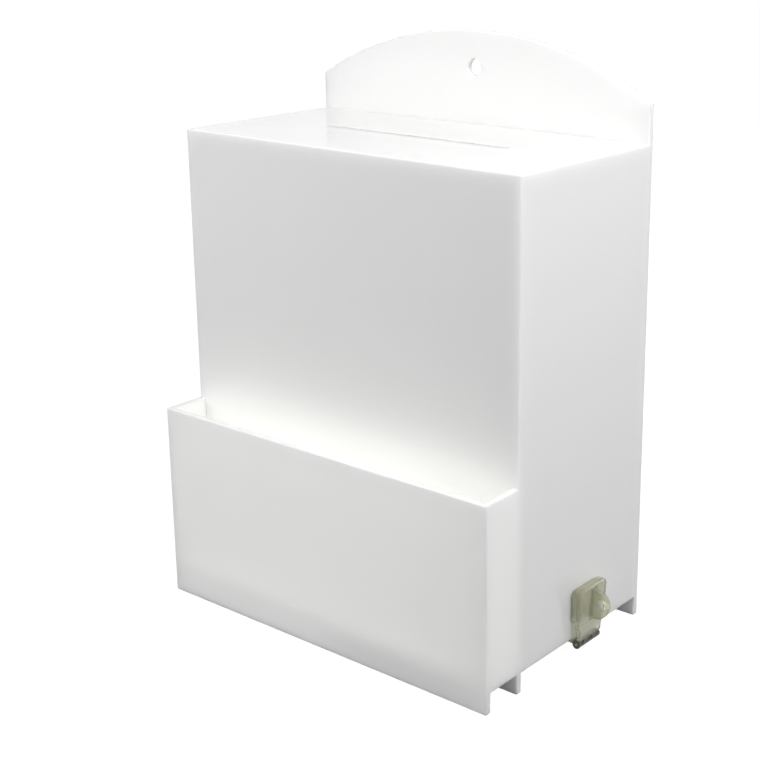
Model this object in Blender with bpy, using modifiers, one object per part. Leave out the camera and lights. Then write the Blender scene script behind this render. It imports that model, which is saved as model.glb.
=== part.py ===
"""Suggestion box in white opal acrylic sheet, with a forms pocket, a hanging tab and a bottom door.

The box is cut from one thickness of sheet and welded at its edges. The front, pocket and back
sheets run below the sides and make the three feet. A paper slot is cut in the top. The bottom is
a door on two clear plastic hinges, held shut by a clear plastic hasp on the right side.

Metres, +Z up. The origin is under the middle of the whole part, on the surface it stands on.
+X is the hasp's side, -Y is the pocket's side and +Y is the wall's side.
"""
from math import asin, cos, pi, radians, sin

import bmesh
import bpy
from mathutils import Matrix, Vector

# Sheet and box
WIDTH = 0.250
BODY_DEPTH = 0.126
SIDE_HEIGHT = 0.281
FOOT_DROP = 0.012
SHEET = 0.0045
JOINT_GAP = 0.0003
EDGE_RADIUS = 0.0012
EDGE_EASE = 0.0005

# Forms pocket
POCKET_DEPTH = 0.028
POCKET_HEIGHT = 0.111

# Hanging tab of the back sheet
SHOULDER_RISE = 0.023
ARCH_RISE = 0.034
HANG_HOLE_RADIUS = 0.0053
HANG_HOLE_DROP = 0.0225

# Paper slot
SLOT_LENGTH = 0.140
SLOT_WIDTH = 0.0055

# Bottom door
DOOR_CLEARANCE = 0.0006

# Clear plastic hinges, and the hinge of the hasp
BARREL_RADIUS = 0.0025
PIN_RADIUS = 0.0010
PIN_CLEARANCE = 0.0003
PIN_END_EASE = 0.0003
LEAF_THICKNESS = 0.0022
LEAF_CORNER_RADIUS = 0.0030
HINGE_LENGTH = 0.0320
HINGE_REACH = 0.0210
HINGE_INSET = 0.0110
KNUCKLE_GAP = 0.0003
KNUCKLES = 5

# Hasp on the right side
HASP_SET_BACK = 0.0020
HASP_WIDTH = 0.0260
HASP_BARREL_LENGTH = 0.0215
HASP_LEAF_REACH = 0.0200
STAPLE_THICKNESS = 0.0025
STAPLE_HEIGHT = 0.0200
EYE_CENTRE_HEIGHT = 0.0213
EYE_RADIUS = 0.0090
EYE_REACH = 0.0180
EYE_THICKNESS = 0.0035
EYE_HOLE_RADIUS = 0.0032
STRAP_TOP = 0.0337
STRAP_TOP_DEPTH = 0.0052
STRAP_WALL = 0.0018
STRAP_CORNER_RADIUS = 0.0045
STRAP_SHOULDER = 0.0085
STRAP_SHOULDER_LENGTH = 0.0040
SLOT_SIDE_CLEARANCE = 0.0009
SLOT_END_CLEARANCE = 0.0014
SLOT_CORNER_RADIUS = 0.0009

# How finely round shapes are cut, and how far a cutter runs past what it cuts
ARCH_STEPS = 36
HOLE_STEPS = 32
ROUND_STEPS = 24
CORNER_STEPS = 5
EDGE_SEGMENTS = 3
OVERRUN = 0.0010
WELD_DISTANCE = 0.000005
SMOOTH_ANGLE = radians(35)

# How long the arrow is drawn that stands on each joint's axis
AXIS_GUIDE_SIZE = 0.02

# Places that follow from the sizes
HALF_WIDTH = WIDTH / 2
HINGE_SIDE_REACH = JOINT_GAP + 2 * BARREL_RADIUS
BODY_X = (HINGE_SIDE_REACH - EYE_REACH) / 2
FRONT_Y = -(POCKET_DEPTH + BODY_DEPTH) / 2
BODY_FRONT_Y = FRONT_Y + POCKET_DEPTH
REAR_Y = BODY_FRONT_Y + BODY_DEPTH
BASE_Z = FOOT_DROP
TOP_Z = BASE_Z + SIDE_HEIGHT
SHOULDER_Z = TOP_Z + SHOULDER_RISE
APEX_Z = SHOULDER_Z + ARCH_RISE
LEFT_X = BODY_X - HALF_WIDTH
RIGHT_X = BODY_X + HALF_WIDTH
POCKET_TOP_Z = BASE_Z + POCKET_HEIGHT
BODY_MIDDLE_Y = BODY_FRONT_Y + BODY_DEPTH / 2
HASP_Y = BODY_MIDDLE_Y + HASP_SET_BACK
AXIS_Z = BASE_Z - JOINT_GAP - BARREL_RADIUS
HINGE_AXIS_X = LEFT_X - JOINT_GAP - BARREL_RADIUS
HASP_AXIS_X = RIGHT_X + JOINT_GAP + BARREL_RADIUS
BORE_RADIUS = PIN_RADIUS + PIN_CLEARANCE

LEFT, RIGHT = Vector((-1, 0, 0)), Vector((1, 0, 0))
FRONT, BACK = Vector((0, -1, 0)), Vector((0, 1, 0))
DOWN, UP = Vector((0, 0, -1)), Vector((0, 0, 1))


def clear_scene():
    """Removes what a new Blender file starts with."""
    for thing in list(bpy.data.objects):
        bpy.data.objects.remove(thing, do_unlink=True)


def add_collection(name):
    """A new collection, linked to the scene."""
    collection = bpy.data.collections.new(name)
    bpy.context.scene.collection.children.link(collection)
    return collection


def add_material(name, colour, roughness, metallic=0.0, transmission=0.0):
    """A Principled BSDF of one colour, in linear values."""
    material = bpy.data.materials.new(name)
    material.use_nodes = True
    shader = material.node_tree.nodes["Principled BSDF"]
    shader.inputs["Base Color"].default_value = (*colour, 1.0)
    shader.inputs["Roughness"].default_value = roughness
    shader.inputs["Metallic"].default_value = metallic
    shader.inputs["Transmission Weight"].default_value = transmission
    material.diffuse_color = (*colour, 1.0)
    return material


def arc(centre, radius, start, end, steps):
    """Points on an arc, from angle start to angle end, both included."""
    return [
        (
            centre[0] + radius * cos(start + (end - start) * i / steps),
            centre[1] + radius * sin(start + (end - start) * i / steps),
        )
        for i in range(steps + 1)
    ]


def circle(centre, radius, steps):
    """A closed circle, without a repeated point."""
    return arc(centre, radius, 0, 2 * pi, steps)[:-1]


def rounded_rectangle(low, high, radii):
    """A rectangle whose corners have their own radii, from the low corner round to the upper left."""
    corners = [
        (low[0], low[1], 1, 1, pi),
        (high[0], low[1], -1, 1, 1.5 * pi),
        (high[0], high[1], -1, -1, 0),
        (low[0], high[1], 1, -1, 0.5 * pi),
    ]
    points = []
    for (x, y, inward_x, inward_y, start), radius in zip(corners, radii):
        if radius:
            centre = (x + inward_x * radius, y + inward_y * radius)
            points += arc(centre, radius, start, start + pi / 2, CORNER_STEPS)
        else:
            points.append((x, y))
    return points


def frame_matrix(place, across, up):
    """A frame at place, whose X runs along across and whose Z runs along up."""
    side = up.cross(across)
    axes = Matrix((across, side, up)).transposed()
    return Matrix.Translation(place) @ axes.to_4x4()


def extruded(name, outlines, thickness, matrix, collection):
    """A flat outline, with any holes in it, as a mesh whose thickness is centred on its plane."""
    curve = bpy.data.curves.new(name, "CURVE")
    curve.dimensions = "2D"
    curve.fill_mode = "BOTH"
    curve.extrude = thickness / 2
    for outline in outlines:
        spline = curve.splines.new("POLY")
        spline.points.add(len(outline) - 1)
        for point, (x, y) in zip(spline.points, outline):
            point.co = (x, y, 0, 1)
        spline.use_cyclic_u = True
    flat = bpy.data.objects.new(name, curve)
    collection.objects.link(flat)
    graph = bpy.context.evaluated_depsgraph_get()
    mesh = bpy.data.meshes.new_from_object(flat.evaluated_get(graph))
    bpy.data.objects.remove(flat, do_unlink=True)
    shape = bmesh.new()
    shape.from_mesh(mesh)
    bmesh.ops.remove_doubles(shape, verts=shape.verts, dist=WELD_DISTANCE)
    bmesh.ops.recalc_face_normals(shape, faces=shape.faces)
    shape.to_mesh(mesh)
    shape.free()
    piece = bpy.data.objects.new(name, mesh)
    collection.objects.link(piece)
    piece.matrix_world = matrix
    return piece


def block(name, low, high, collection, rounded=()):
    """A straight block between two corners, with the edges between the named pairs of sides rounded."""
    low, high = Vector(low), Vector(high)
    shape = bmesh.new()
    bmesh.ops.create_cube(shape, size=1)
    bmesh.ops.scale(shape, vec=high - low, verts=shape.verts)
    shape.normal_update()
    weights = shape.edges.layers.float.new("bevel_weight_edge")
    for edge in shape.edges:
        normals = [face.normal for face in edge.link_faces]
        for pair in rounded:
            if all(any(normal.dot(side) > cos(SMOOTH_ANGLE) for normal in normals) for side in pair):
                edge[weights] = 1
    mesh = bpy.data.meshes.new(name)
    shape.to_mesh(mesh)
    shape.free()
    piece = bpy.data.objects.new(name, mesh)
    collection.objects.link(piece)
    piece.location = (low + high) / 2
    if rounded:
        add_bevel(piece, EDGE_RADIUS, EDGE_SEGMENTS, "WEIGHT")
    return piece


def add_bevel(piece, width, segments, limit):
    """Rounds a piece's edges: all the sharp ones, or only those that carry a bevel weight."""
    bevel = piece.modifiers.new("rounded_edges", "BEVEL")
    bevel.width = width
    bevel.segments = segments
    bevel.limit_method = limit
    bevel.angle_limit = SMOOTH_ANGLE
    bevel.use_clamp_overlap = True


def combine(piece, tool, operation):
    """Adds a Boolean modifier that cuts, joins or keeps what piece and tool share."""
    boolean = piece.modifiers.new(f"{operation.lower()}_{tool.name}", "BOOLEAN")
    boolean.operation = operation
    boolean.object = tool
    boolean.solver = "EXACT"
    tool.hide_render = True
    tool.display_type = "WIRE"


def dress(piece, material):
    """Gives a piece its material, and smooth shading across its gentle edges."""
    piece.data.materials.clear()
    piece.data.materials.append(material)
    piece.data.shade_smooth()
    piece.data.set_sharp_from_angle(angle=SMOOTH_ANGLE)


def carry(piece, parent):
    """Parents a piece to the empty on its joint's axis, and leaves it where it stands."""
    bpy.context.view_layer.update()
    piece.parent = parent
    piece.matrix_parent_inverse = parent.matrix_world.inverted()


def axis_guide(name, place, collection):
    """An empty on a joint's axis, which carries the pieces that turn about it."""
    guide = bpy.data.objects.new(name, None)
    guide.empty_display_type = "SINGLE_ARROW"
    guide.empty_display_size = AXIS_GUIDE_SIZE
    guide.location = place
    collection.objects.link(guide)
    return guide


def back_panel(parts):
    """The back sheet: its foot, its straight sides, the arched hanging tab and the round hole."""
    radius = (HALF_WIDTH**2 + ARCH_RISE**2) / (2 * ARCH_RISE)
    half_angle = asin(HALF_WIDTH / radius)
    crown = arc((0, APEX_Z - radius), radius, pi / 2 - half_angle, pi / 2 + half_angle, ARCH_STEPS)
    outline = [(-HALF_WIDTH, 0), (HALF_WIDTH, 0), *crown]
    hole = circle((0, APEX_Z - HANG_HOLE_DROP), HANG_HOLE_RADIUS, HOLE_STEPS)
    middle = Vector((BODY_X, REAR_Y - SHEET / 2, 0))
    panel = extruded("back_panel", [outline, hole], SHEET, frame_matrix(middle, RIGHT, FRONT), parts)
    add_bevel(panel, EDGE_EASE, 1, "ANGLE")
    return panel


def top_panel(parts):
    """The top sheet, laid over the front and side sheets, with the paper slot through it."""
    rear = REAR_Y - SHEET - JOINT_GAP
    return block(
        "top_panel",
        (LEFT_X, BODY_FRONT_Y, TOP_Z - SHEET),
        (RIGHT_X, rear, TOP_Z),
        parts,
        rounded=[(UP, FRONT), (UP, LEFT), (UP, RIGHT), (FRONT, LEFT), (FRONT, RIGHT)],
    )


def paper_slot(tools):
    """The cutter of the paper slot: a long hole with round ends, in the middle of the top."""
    half_length, half_width = SLOT_LENGTH / 2, SLOT_WIDTH / 2
    outline = rounded_rectangle(
        (-half_length, -half_width), (half_length, half_width), [half_width] * 4
    )
    place = Vector((BODY_X, BODY_MIDDLE_Y, TOP_Z - SHEET / 2))
    thickness = SHEET + 2 * OVERRUN
    return extruded("paper_slot_cutter", [outline], thickness, frame_matrix(place, RIGHT, UP), tools)


def body_panels(parts):
    """The front and side sheets of the letter chamber, whose front sheet makes the middle foot."""
    under_top = TOP_Z - SHEET - JOINT_GAP
    side_front = BODY_FRONT_Y + SHEET + JOINT_GAP
    side_rear = REAR_Y - SHEET - JOINT_GAP
    front = block(
        "front_panel",
        (LEFT_X, BODY_FRONT_Y, 0),
        (RIGHT_X, BODY_FRONT_Y + SHEET, under_top),
        parts,
        rounded=[(FRONT, LEFT), (FRONT, RIGHT)],
    )
    left = block(
        "left_side_panel",
        (LEFT_X, side_front, BASE_Z),
        (LEFT_X + SHEET, side_rear, under_top),
        parts,
    )
    right = block(
        "right_side_panel",
        (RIGHT_X - SHEET, side_front, BASE_Z),
        (RIGHT_X, side_rear, under_top),
        parts,
    )
    return [front, left, right]


def pocket_panels(parts):
    """The forms pocket: its front sheet with the front foot, two cheeks and a floor."""
    rear = BODY_FRONT_Y - JOINT_GAP
    cheek_front = FRONT_Y + SHEET + JOINT_GAP
    front = block(
        "pocket_front_panel",
        (LEFT_X, FRONT_Y, 0),
        (RIGHT_X, FRONT_Y + SHEET, POCKET_TOP_Z),
        parts,
        rounded=[(FRONT, LEFT), (FRONT, RIGHT), (FRONT, UP), (BACK, UP)],
    )
    left = block(
        "pocket_left_cheek",
        (LEFT_X, cheek_front, BASE_Z),
        (LEFT_X + SHEET, rear, POCKET_TOP_Z),
        parts,
        rounded=[(UP, LEFT), (UP, RIGHT)],
    )
    right = block(
        "pocket_right_cheek",
        (RIGHT_X - SHEET, cheek_front, BASE_Z),
        (RIGHT_X, rear, POCKET_TOP_Z),
        parts,
        rounded=[(UP, LEFT), (UP, RIGHT)],
    )
    floor = block(
        "pocket_floor",
        (LEFT_X + SHEET + JOINT_GAP, cheek_front, BASE_Z),
        (RIGHT_X - SHEET - JOINT_GAP, rear, BASE_Z + SHEET),
        parts,
    )
    return [front, left, right, floor]


def bottom_door(parts):
    """The door: a sheet that fills the bottom between the four walls, flush with the sides."""
    inset = SHEET + DOOR_CLEARANCE
    return block(
        "bottom_door",
        (LEFT_X + inset, BODY_FRONT_Y + inset, BASE_Z),
        (RIGHT_X - inset, REAR_Y - inset, BASE_Z + SHEET),
        parts,
    )


def knuckle_spans(length, first, total=KNUCKLES):
    """Where every second knuckle of a barrel lies along the axis, from the knuckle numbered first."""
    knuckle = (length - (total - 1) * KNUCKLE_GAP) / total
    starts = [-length / 2 + i * (knuckle + KNUCKLE_GAP) for i in range(total)]
    return [(start + knuckle / 2, knuckle) for start in starts[first::2]]


def knuckle_outline(root):
    """The end view of a knuckle: the barrel, and the web that runs out of its tangent into a leaf."""
    barrel = arc((0, 0), BARREL_RADIUS, pi / 2, 2 * pi, ROUND_STEPS)
    web = [
        (BARREL_RADIUS, BARREL_RADIUS - LEAF_THICKNESS),
        (root, BARREL_RADIUS - LEAF_THICKNESS),
        (root, BARREL_RADIUS),
    ]
    return barrel + web


def join_knuckles(piece, length, first, frame, tools):
    """Joins a leaf's own knuckles, with their pin bore, onto the leaf."""
    root = BARREL_RADIUS + KNUCKLE_GAP + OVERRUN
    for number, (middle, span) in enumerate(knuckle_spans(length, first), start=1):
        # The outline's X and Y are the frame's X and Z, and it is extruded along the barrel
        local = frame_matrix(Vector((0, middle, 0)), RIGHT, FRONT)
        knuckle = extruded(
            f"{piece.name}_knuckle_{number}",
            [knuckle_outline(root), circle((0, 0), BORE_RADIUS, ROUND_STEPS)],
            span,
            frame @ local,
            tools,
        )
        combine(piece, knuckle, "UNION")


def hinge_leaf(name, frame, length, reach, first, parts, tools):
    """A moulded leaf: a plate with two round corners, and every second knuckle of the barrel.

    In its own frame the barrel lies along Y, and the plate runs along X at the barrel's tangent.
    """
    half = length / 2
    outline = rounded_rectangle(
        (BARREL_RADIUS + KNUCKLE_GAP, -half),
        (reach, half),
        [0, LEAF_CORNER_RADIUS, LEAF_CORNER_RADIUS, 0],
    )
    lift = Vector((0, 0, BARREL_RADIUS - LEAF_THICKNESS / 2))
    local = frame_matrix(lift, RIGHT, UP)
    leaf = extruded(name, [outline], LEAF_THICKNESS, frame @ local, parts)
    join_knuckles(leaf, length, first, frame, tools)
    return leaf


def hinge_pin(name, place, length, parts):
    """A plain steel pin through a barrel, with its two ends rounded off."""
    shape = bmesh.new()
    bmesh.ops.create_cone(
        shape,
        cap_ends=True,
        segments=ROUND_STEPS,
        radius1=PIN_RADIUS,
        radius2=PIN_RADIUS,
        depth=length,
    )
    mesh = bpy.data.meshes.new(name)
    shape.to_mesh(mesh)
    shape.free()
    pin = bpy.data.objects.new(name, mesh)
    parts.objects.link(pin)
    pin.matrix_world = frame_matrix(place, RIGHT, BACK)
    add_bevel(pin, PIN_END_EASE, 1, "ANGLE")
    return pin


def door_hinges(parts, tools):
    """The two hinges along the lower left edge, outside the box, each with two leaves and a pin."""
    case_pieces, door_pieces, pins = [], [], []
    offset = BODY_DEPTH / 2 - SHEET - HINGE_INSET - HINGE_LENGTH / 2
    for label, y in (("front", BODY_MIDDLE_Y - offset), ("rear", BODY_MIDDLE_Y + offset)):
        place = Vector((HINGE_AXIS_X, y, AXIS_Z))
        case_frame = frame_matrix(place, UP, RIGHT)
        door_frame = frame_matrix(place, RIGHT, UP)
        size = (HINGE_LENGTH, HINGE_REACH)
        case_pieces.append(
            hinge_leaf(f"{label}_hinge_case_leaf", case_frame, *size, 0, parts, tools)
        )
        door_pieces.append(
            hinge_leaf(f"{label}_hinge_door_leaf", door_frame, *size, 1, parts, tools)
        )
        pins.append(hinge_pin(f"{label}_hinge_pin", place, HINGE_LENGTH, parts))
    return case_pieces, door_pieces, pins


def hasp_staple(parts, tools):
    """The staple on the right side: a plate with round corners, and the D-shaped padlock eye."""
    centre_z = BASE_Z + EYE_CENTRE_HEIGHT
    half_width, half_height = HASP_WIDTH / 2, STAPLE_HEIGHT / 2
    outline = rounded_rectangle(
        (-half_width, -half_height), (half_width, half_height), [LEAF_CORNER_RADIUS] * 4
    )
    plate_x = RIGHT_X + JOINT_GAP + STAPLE_THICKNESS / 2
    plate_frame = frame_matrix(Vector((plate_x, HASP_Y, centre_z)), BACK, RIGHT)
    staple = extruded("hasp_staple", [outline], STAPLE_THICKNESS, plate_frame, parts)

    # The eye's outline runs out from inside the plate, and its round end has the eye's radius
    root = JOINT_GAP + STAPLE_THICKNESS - OVERRUN
    round_centre = EYE_REACH - EYE_RADIUS
    round_end = arc((round_centre, 0), EYE_RADIUS, -pi / 2, pi / 2, ROUND_STEPS)
    eye_outline = [(root, -EYE_RADIUS), *round_end, (root, EYE_RADIUS)]
    hole = circle((eye_hole_reach(), 0), EYE_HOLE_RADIUS, ROUND_STEPS)
    eye_frame = frame_matrix(Vector((RIGHT_X, HASP_Y, centre_z)), RIGHT, FRONT)
    eye = extruded("padlock_eye", [eye_outline, hole], EYE_THICKNESS, eye_frame, tools)
    combine(staple, eye, "UNION")
    return staple


def eye_hole_reach():
    """How far the padlock hole's centre stands out from the side: midway between strap and rim."""
    strap_face = HASP_AXIS_X - RIGHT_X + STRAP_TOP_DEPTH
    return (strap_face + EYE_REACH) / 2


def strap_faces(height):
    """The strap's inner and outer faces at a height over the axis, as distances out from the axis."""
    inner = BARREL_RADIUS - LEAF_THICKNESS
    top = STRAP_TOP + BASE_Z - AXIS_Z
    share = max(0, min(1, height / top))
    return inner, BARREL_RADIUS + (STRAP_TOP_DEPTH - BARREL_RADIUS) * share


def hasp_strap(parts, tools):
    """The swinging strap: a moulded tray that deepens towards its top, slotted over the eye."""
    place = Vector((HASP_AXIS_X, HASP_Y, AXIS_Z))
    top = STRAP_TOP + BASE_Z - AXIS_Z
    foot = BARREL_RADIUS + KNUCKLE_GAP

    # Seen from outside: narrow at the knuckles, wider past the shoulders, with two round corners
    half_barrel, half_width = HASP_BARREL_LENGTH / 2, HASP_WIDTH / 2
    shoulder = STRAP_SHOULDER + STRAP_SHOULDER_LENGTH
    corner = (half_width - STRAP_CORNER_RADIUS, top - STRAP_CORNER_RADIUS)
    right_corner = arc(corner, STRAP_CORNER_RADIUS, 0, pi / 2, CORNER_STEPS)
    left_corner = [(-x, z) for x, z in reversed(right_corner)]
    face_outline = [
        (-half_barrel, foot),
        (half_barrel, foot),
        (half_barrel, STRAP_SHOULDER),
        (half_width, shoulder),
        *right_corner,
        *left_corner,
        (-half_width, shoulder),
        (-half_barrel, STRAP_SHOULDER),
    ]
    depth = STRAP_TOP_DEPTH + BARREL_RADIUS
    face_frame = frame_matrix(place + RIGHT * (STRAP_TOP_DEPTH / 2), BACK, RIGHT)
    strap = extruded("hasp_strap", [face_outline], depth, face_frame, parts)
    # Its origin is moved onto the joint's axis
    strap.data.transform(Matrix.Translation((0, 0, STRAP_TOP_DEPTH / 2)))
    strap.matrix_world = frame_matrix(place, BACK, RIGHT)

    # Seen from the front: a straight inner edge and a leaning outer face
    inner, low_outer = strap_faces(foot)
    high_outer = strap_faces(top)[1]
    side_frame = frame_matrix(place, RIGHT, FRONT)
    side_outline = [
        (inner, foot),
        (low_outer, foot),
        (high_outer, top + OVERRUN),
        (inner, top + OVERRUN),
    ]
    wedge = extruded("strap_side_profile", [side_outline], HASP_WIDTH + OVERRUN, side_frame, tools)
    combine(strap, wedge, "INTERSECT")

    # The hollow is open towards the wall, and leaves one wall's thickness round the tray
    hollow_foot = shoulder
    hollow_top = top - STRAP_WALL
    hollow_outline = [
        (inner - OVERRUN, hollow_foot),
        (strap_faces(hollow_foot)[1] - STRAP_WALL, hollow_foot),
        (strap_faces(hollow_top)[1] - STRAP_WALL, hollow_top),
        (inner - OVERRUN, hollow_top),
    ]
    hollow_width = HASP_WIDTH - 2 * STRAP_WALL
    hollow = extruded("strap_hollow_cutter", [hollow_outline], hollow_width, side_frame, tools)
    combine(strap, hollow, "DIFFERENCE")

    slot_centre = Vector((HASP_AXIS_X, HASP_Y, BASE_Z + EYE_CENTRE_HEIGHT))
    half_slot = EYE_THICKNESS / 2 + SLOT_SIDE_CLEARANCE
    half_height = EYE_RADIUS + SLOT_END_CLEARANCE
    slot_outline = rounded_rectangle(
        (-half_slot, -half_height), (half_slot, half_height), [SLOT_CORNER_RADIUS] * 4
    )
    slot_depth = 2 * (STRAP_TOP_DEPTH + OVERRUN)
    slot = extruded(
        "strap_slot_cutter", [slot_outline], slot_depth, frame_matrix(slot_centre, BACK, RIGHT), tools
    )
    combine(strap, slot, "DIFFERENCE")
    join_knuckles(strap, HASP_BARREL_LENGTH, 1, frame_matrix(place, UP, RIGHT), tools)
    return strap


def hasp(parts, tools):
    """The hasp: the staple on the case, the leaf under the door, the pin and the strap."""
    place = Vector((HASP_AXIS_X, HASP_Y, AXIS_Z))
    leaf = hinge_leaf(
        "hasp_door_leaf",
        frame_matrix(place, LEFT, UP),
        HASP_BARREL_LENGTH,
        HASP_LEAF_REACH,
        0,
        parts,
        tools,
    )
    pin = hinge_pin("hasp_pin", place, HASP_BARREL_LENGTH, parts)
    return hasp_staple(parts, tools), leaf, pin, hasp_strap(parts, tools)


def build():
    """Builds every piece, dresses it, and hangs the moving ones on their axes."""
    clear_scene()
    parts = add_collection("suggestion_box")
    tools = add_collection("cutters")
    opal = add_material("opal_acrylic", (0.86, 0.86, 0.85), 0.12)
    clear = add_material("clear_plastic", (0.52, 0.53, 0.42), 0.10, transmission=0.8)
    steel = add_material("pin_steel", (0.45, 0.45, 0.44), 0.3, metallic=1.0)

    top = top_panel(parts)
    combine(top, paper_slot(tools), "DIFFERENCE")
    door = bottom_door(parts)
    sheets = [back_panel(parts), top, door, *body_panels(parts), *pocket_panels(parts)]
    case_leaves, door_leaves, pins = door_hinges(parts, tools)
    staple, hasp_leaf, hasp_pin, strap = hasp(parts, tools)

    for piece in sheets:
        dress(piece, opal)
    for piece in [*case_leaves, *door_leaves, staple, hasp_leaf, strap]:
        dress(piece, clear)
    for piece in [*pins, hasp_pin]:
        dress(piece, steel)

    door_axis = axis_guide("door_swing_axis", (HINGE_AXIS_X, BODY_MIDDLE_Y, AXIS_Z), parts)
    hasp_axis = axis_guide("hasp_swing_axis", (HASP_AXIS_X, HASP_Y, AXIS_Z), parts)
    for piece in [door, *door_leaves, hasp_leaf, hasp_pin, hasp_axis]:
        carry(piece, door_axis)
    carry(strap, hasp_axis)


build()
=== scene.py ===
"""Looks of the acrylic suggestion box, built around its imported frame.

The opal sheets are rebuilt with closed seams and polished edges, and the clear plastic hinges and
hasp with fine barrels and moulded edges. Each piece rides on the body of the node that it stands
for. Lengths are in metres, in the part's own frame: +X is the hasp's side, -Y the pocket's side,
and the box stands on Z = 0.
"""

import logging
from dataclasses import dataclass, field, replace
from enum import Enum
from math import acos, asin, cos, pi, radians, sin
from typing import Any, Callable, Iterable, Sequence

import bmesh
import bpy
from mathutils import Matrix, Vector

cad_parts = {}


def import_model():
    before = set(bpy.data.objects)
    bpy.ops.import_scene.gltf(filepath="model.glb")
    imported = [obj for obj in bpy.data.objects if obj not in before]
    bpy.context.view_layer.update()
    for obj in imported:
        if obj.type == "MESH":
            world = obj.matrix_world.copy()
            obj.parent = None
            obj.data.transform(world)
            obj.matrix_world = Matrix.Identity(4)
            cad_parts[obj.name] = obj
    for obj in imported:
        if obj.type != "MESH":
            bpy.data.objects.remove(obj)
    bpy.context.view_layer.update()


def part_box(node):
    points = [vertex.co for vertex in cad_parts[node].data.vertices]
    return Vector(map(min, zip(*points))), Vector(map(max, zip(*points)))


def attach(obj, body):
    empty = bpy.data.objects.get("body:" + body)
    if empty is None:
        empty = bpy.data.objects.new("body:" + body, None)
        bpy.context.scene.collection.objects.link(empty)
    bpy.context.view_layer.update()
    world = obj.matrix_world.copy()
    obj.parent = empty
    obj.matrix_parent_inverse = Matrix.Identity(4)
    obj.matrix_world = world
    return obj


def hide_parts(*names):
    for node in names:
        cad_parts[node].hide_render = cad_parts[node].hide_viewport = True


LOG = logging.getLogger("suggestion_box")

LEFT, RIGHT = Vector((-1, 0, 0)), Vector((1, 0, 0))
FRONT, REAR = Vector((0, -1, 0)), Vector((0, 1, 0))
UP = Vector((0, 0, 1))

# Points that are closer than this are one point, and a coordinate that close to the grid is on it
MERGE_DISTANCE = 1e-6
GRID_DECIMALS = 5
# How far a cutting shape runs past what it cuts
OVERRUN = 0.001
# The least cosine of two directions that count as parallel
PARALLEL = 0.9999
SHARP_ANGLE = radians(50)
FLAT_ANGLE = radians(0.05)
# How strongly large flat faces keep their own normals beside small round ones, 50 being even
FLAT_FACE_WEIGHT = 80
# A full round stops just short of meeting the one beside it
ROUND_SHARE = 0.999
PIN_DOME_SHARE = 0.4
NOISE_ROUGHNESS = 0.55
# The value that a noise varies about
NOISE_MIDDLE = 0.5


class Body(Enum):
    """The bodies that pieces ride on."""

    CASE = "case"
    DOOR = "door"
    STRAP = "strap"


class Slot(Enum):
    """The record's material slots."""

    OPAL = "opal_acrylic"
    CLEAR = "clear_plastic"
    STEEL = "pin_steel"


class Cut(Enum):
    """What a Boolean modifier does with its tool."""

    JOIN = "UNION"
    TAKE_AWAY = "DIFFERENCE"


# Modelling


def evaluated_copy(piece: bpy.types.Object) -> bpy.types.Mesh:
    """A new mesh of a piece, as it looks with its modifiers."""
    graph = bpy.context.evaluated_depsgraph_get()
    return bpy.data.meshes.new_from_object(piece.evaluated_get(graph))


def new_object(name: str, data: bpy.types.ID) -> bpy.types.Object:
    """Puts something new into the scene, at the origin.

    Args:
        name: The object's name.
        data: Its mesh, lamp or camera.

    Returns:
        The object.
    """
    thing = bpy.data.objects.new(name, data)
    bpy.context.scene.collection.objects.link(thing)
    return thing


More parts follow.
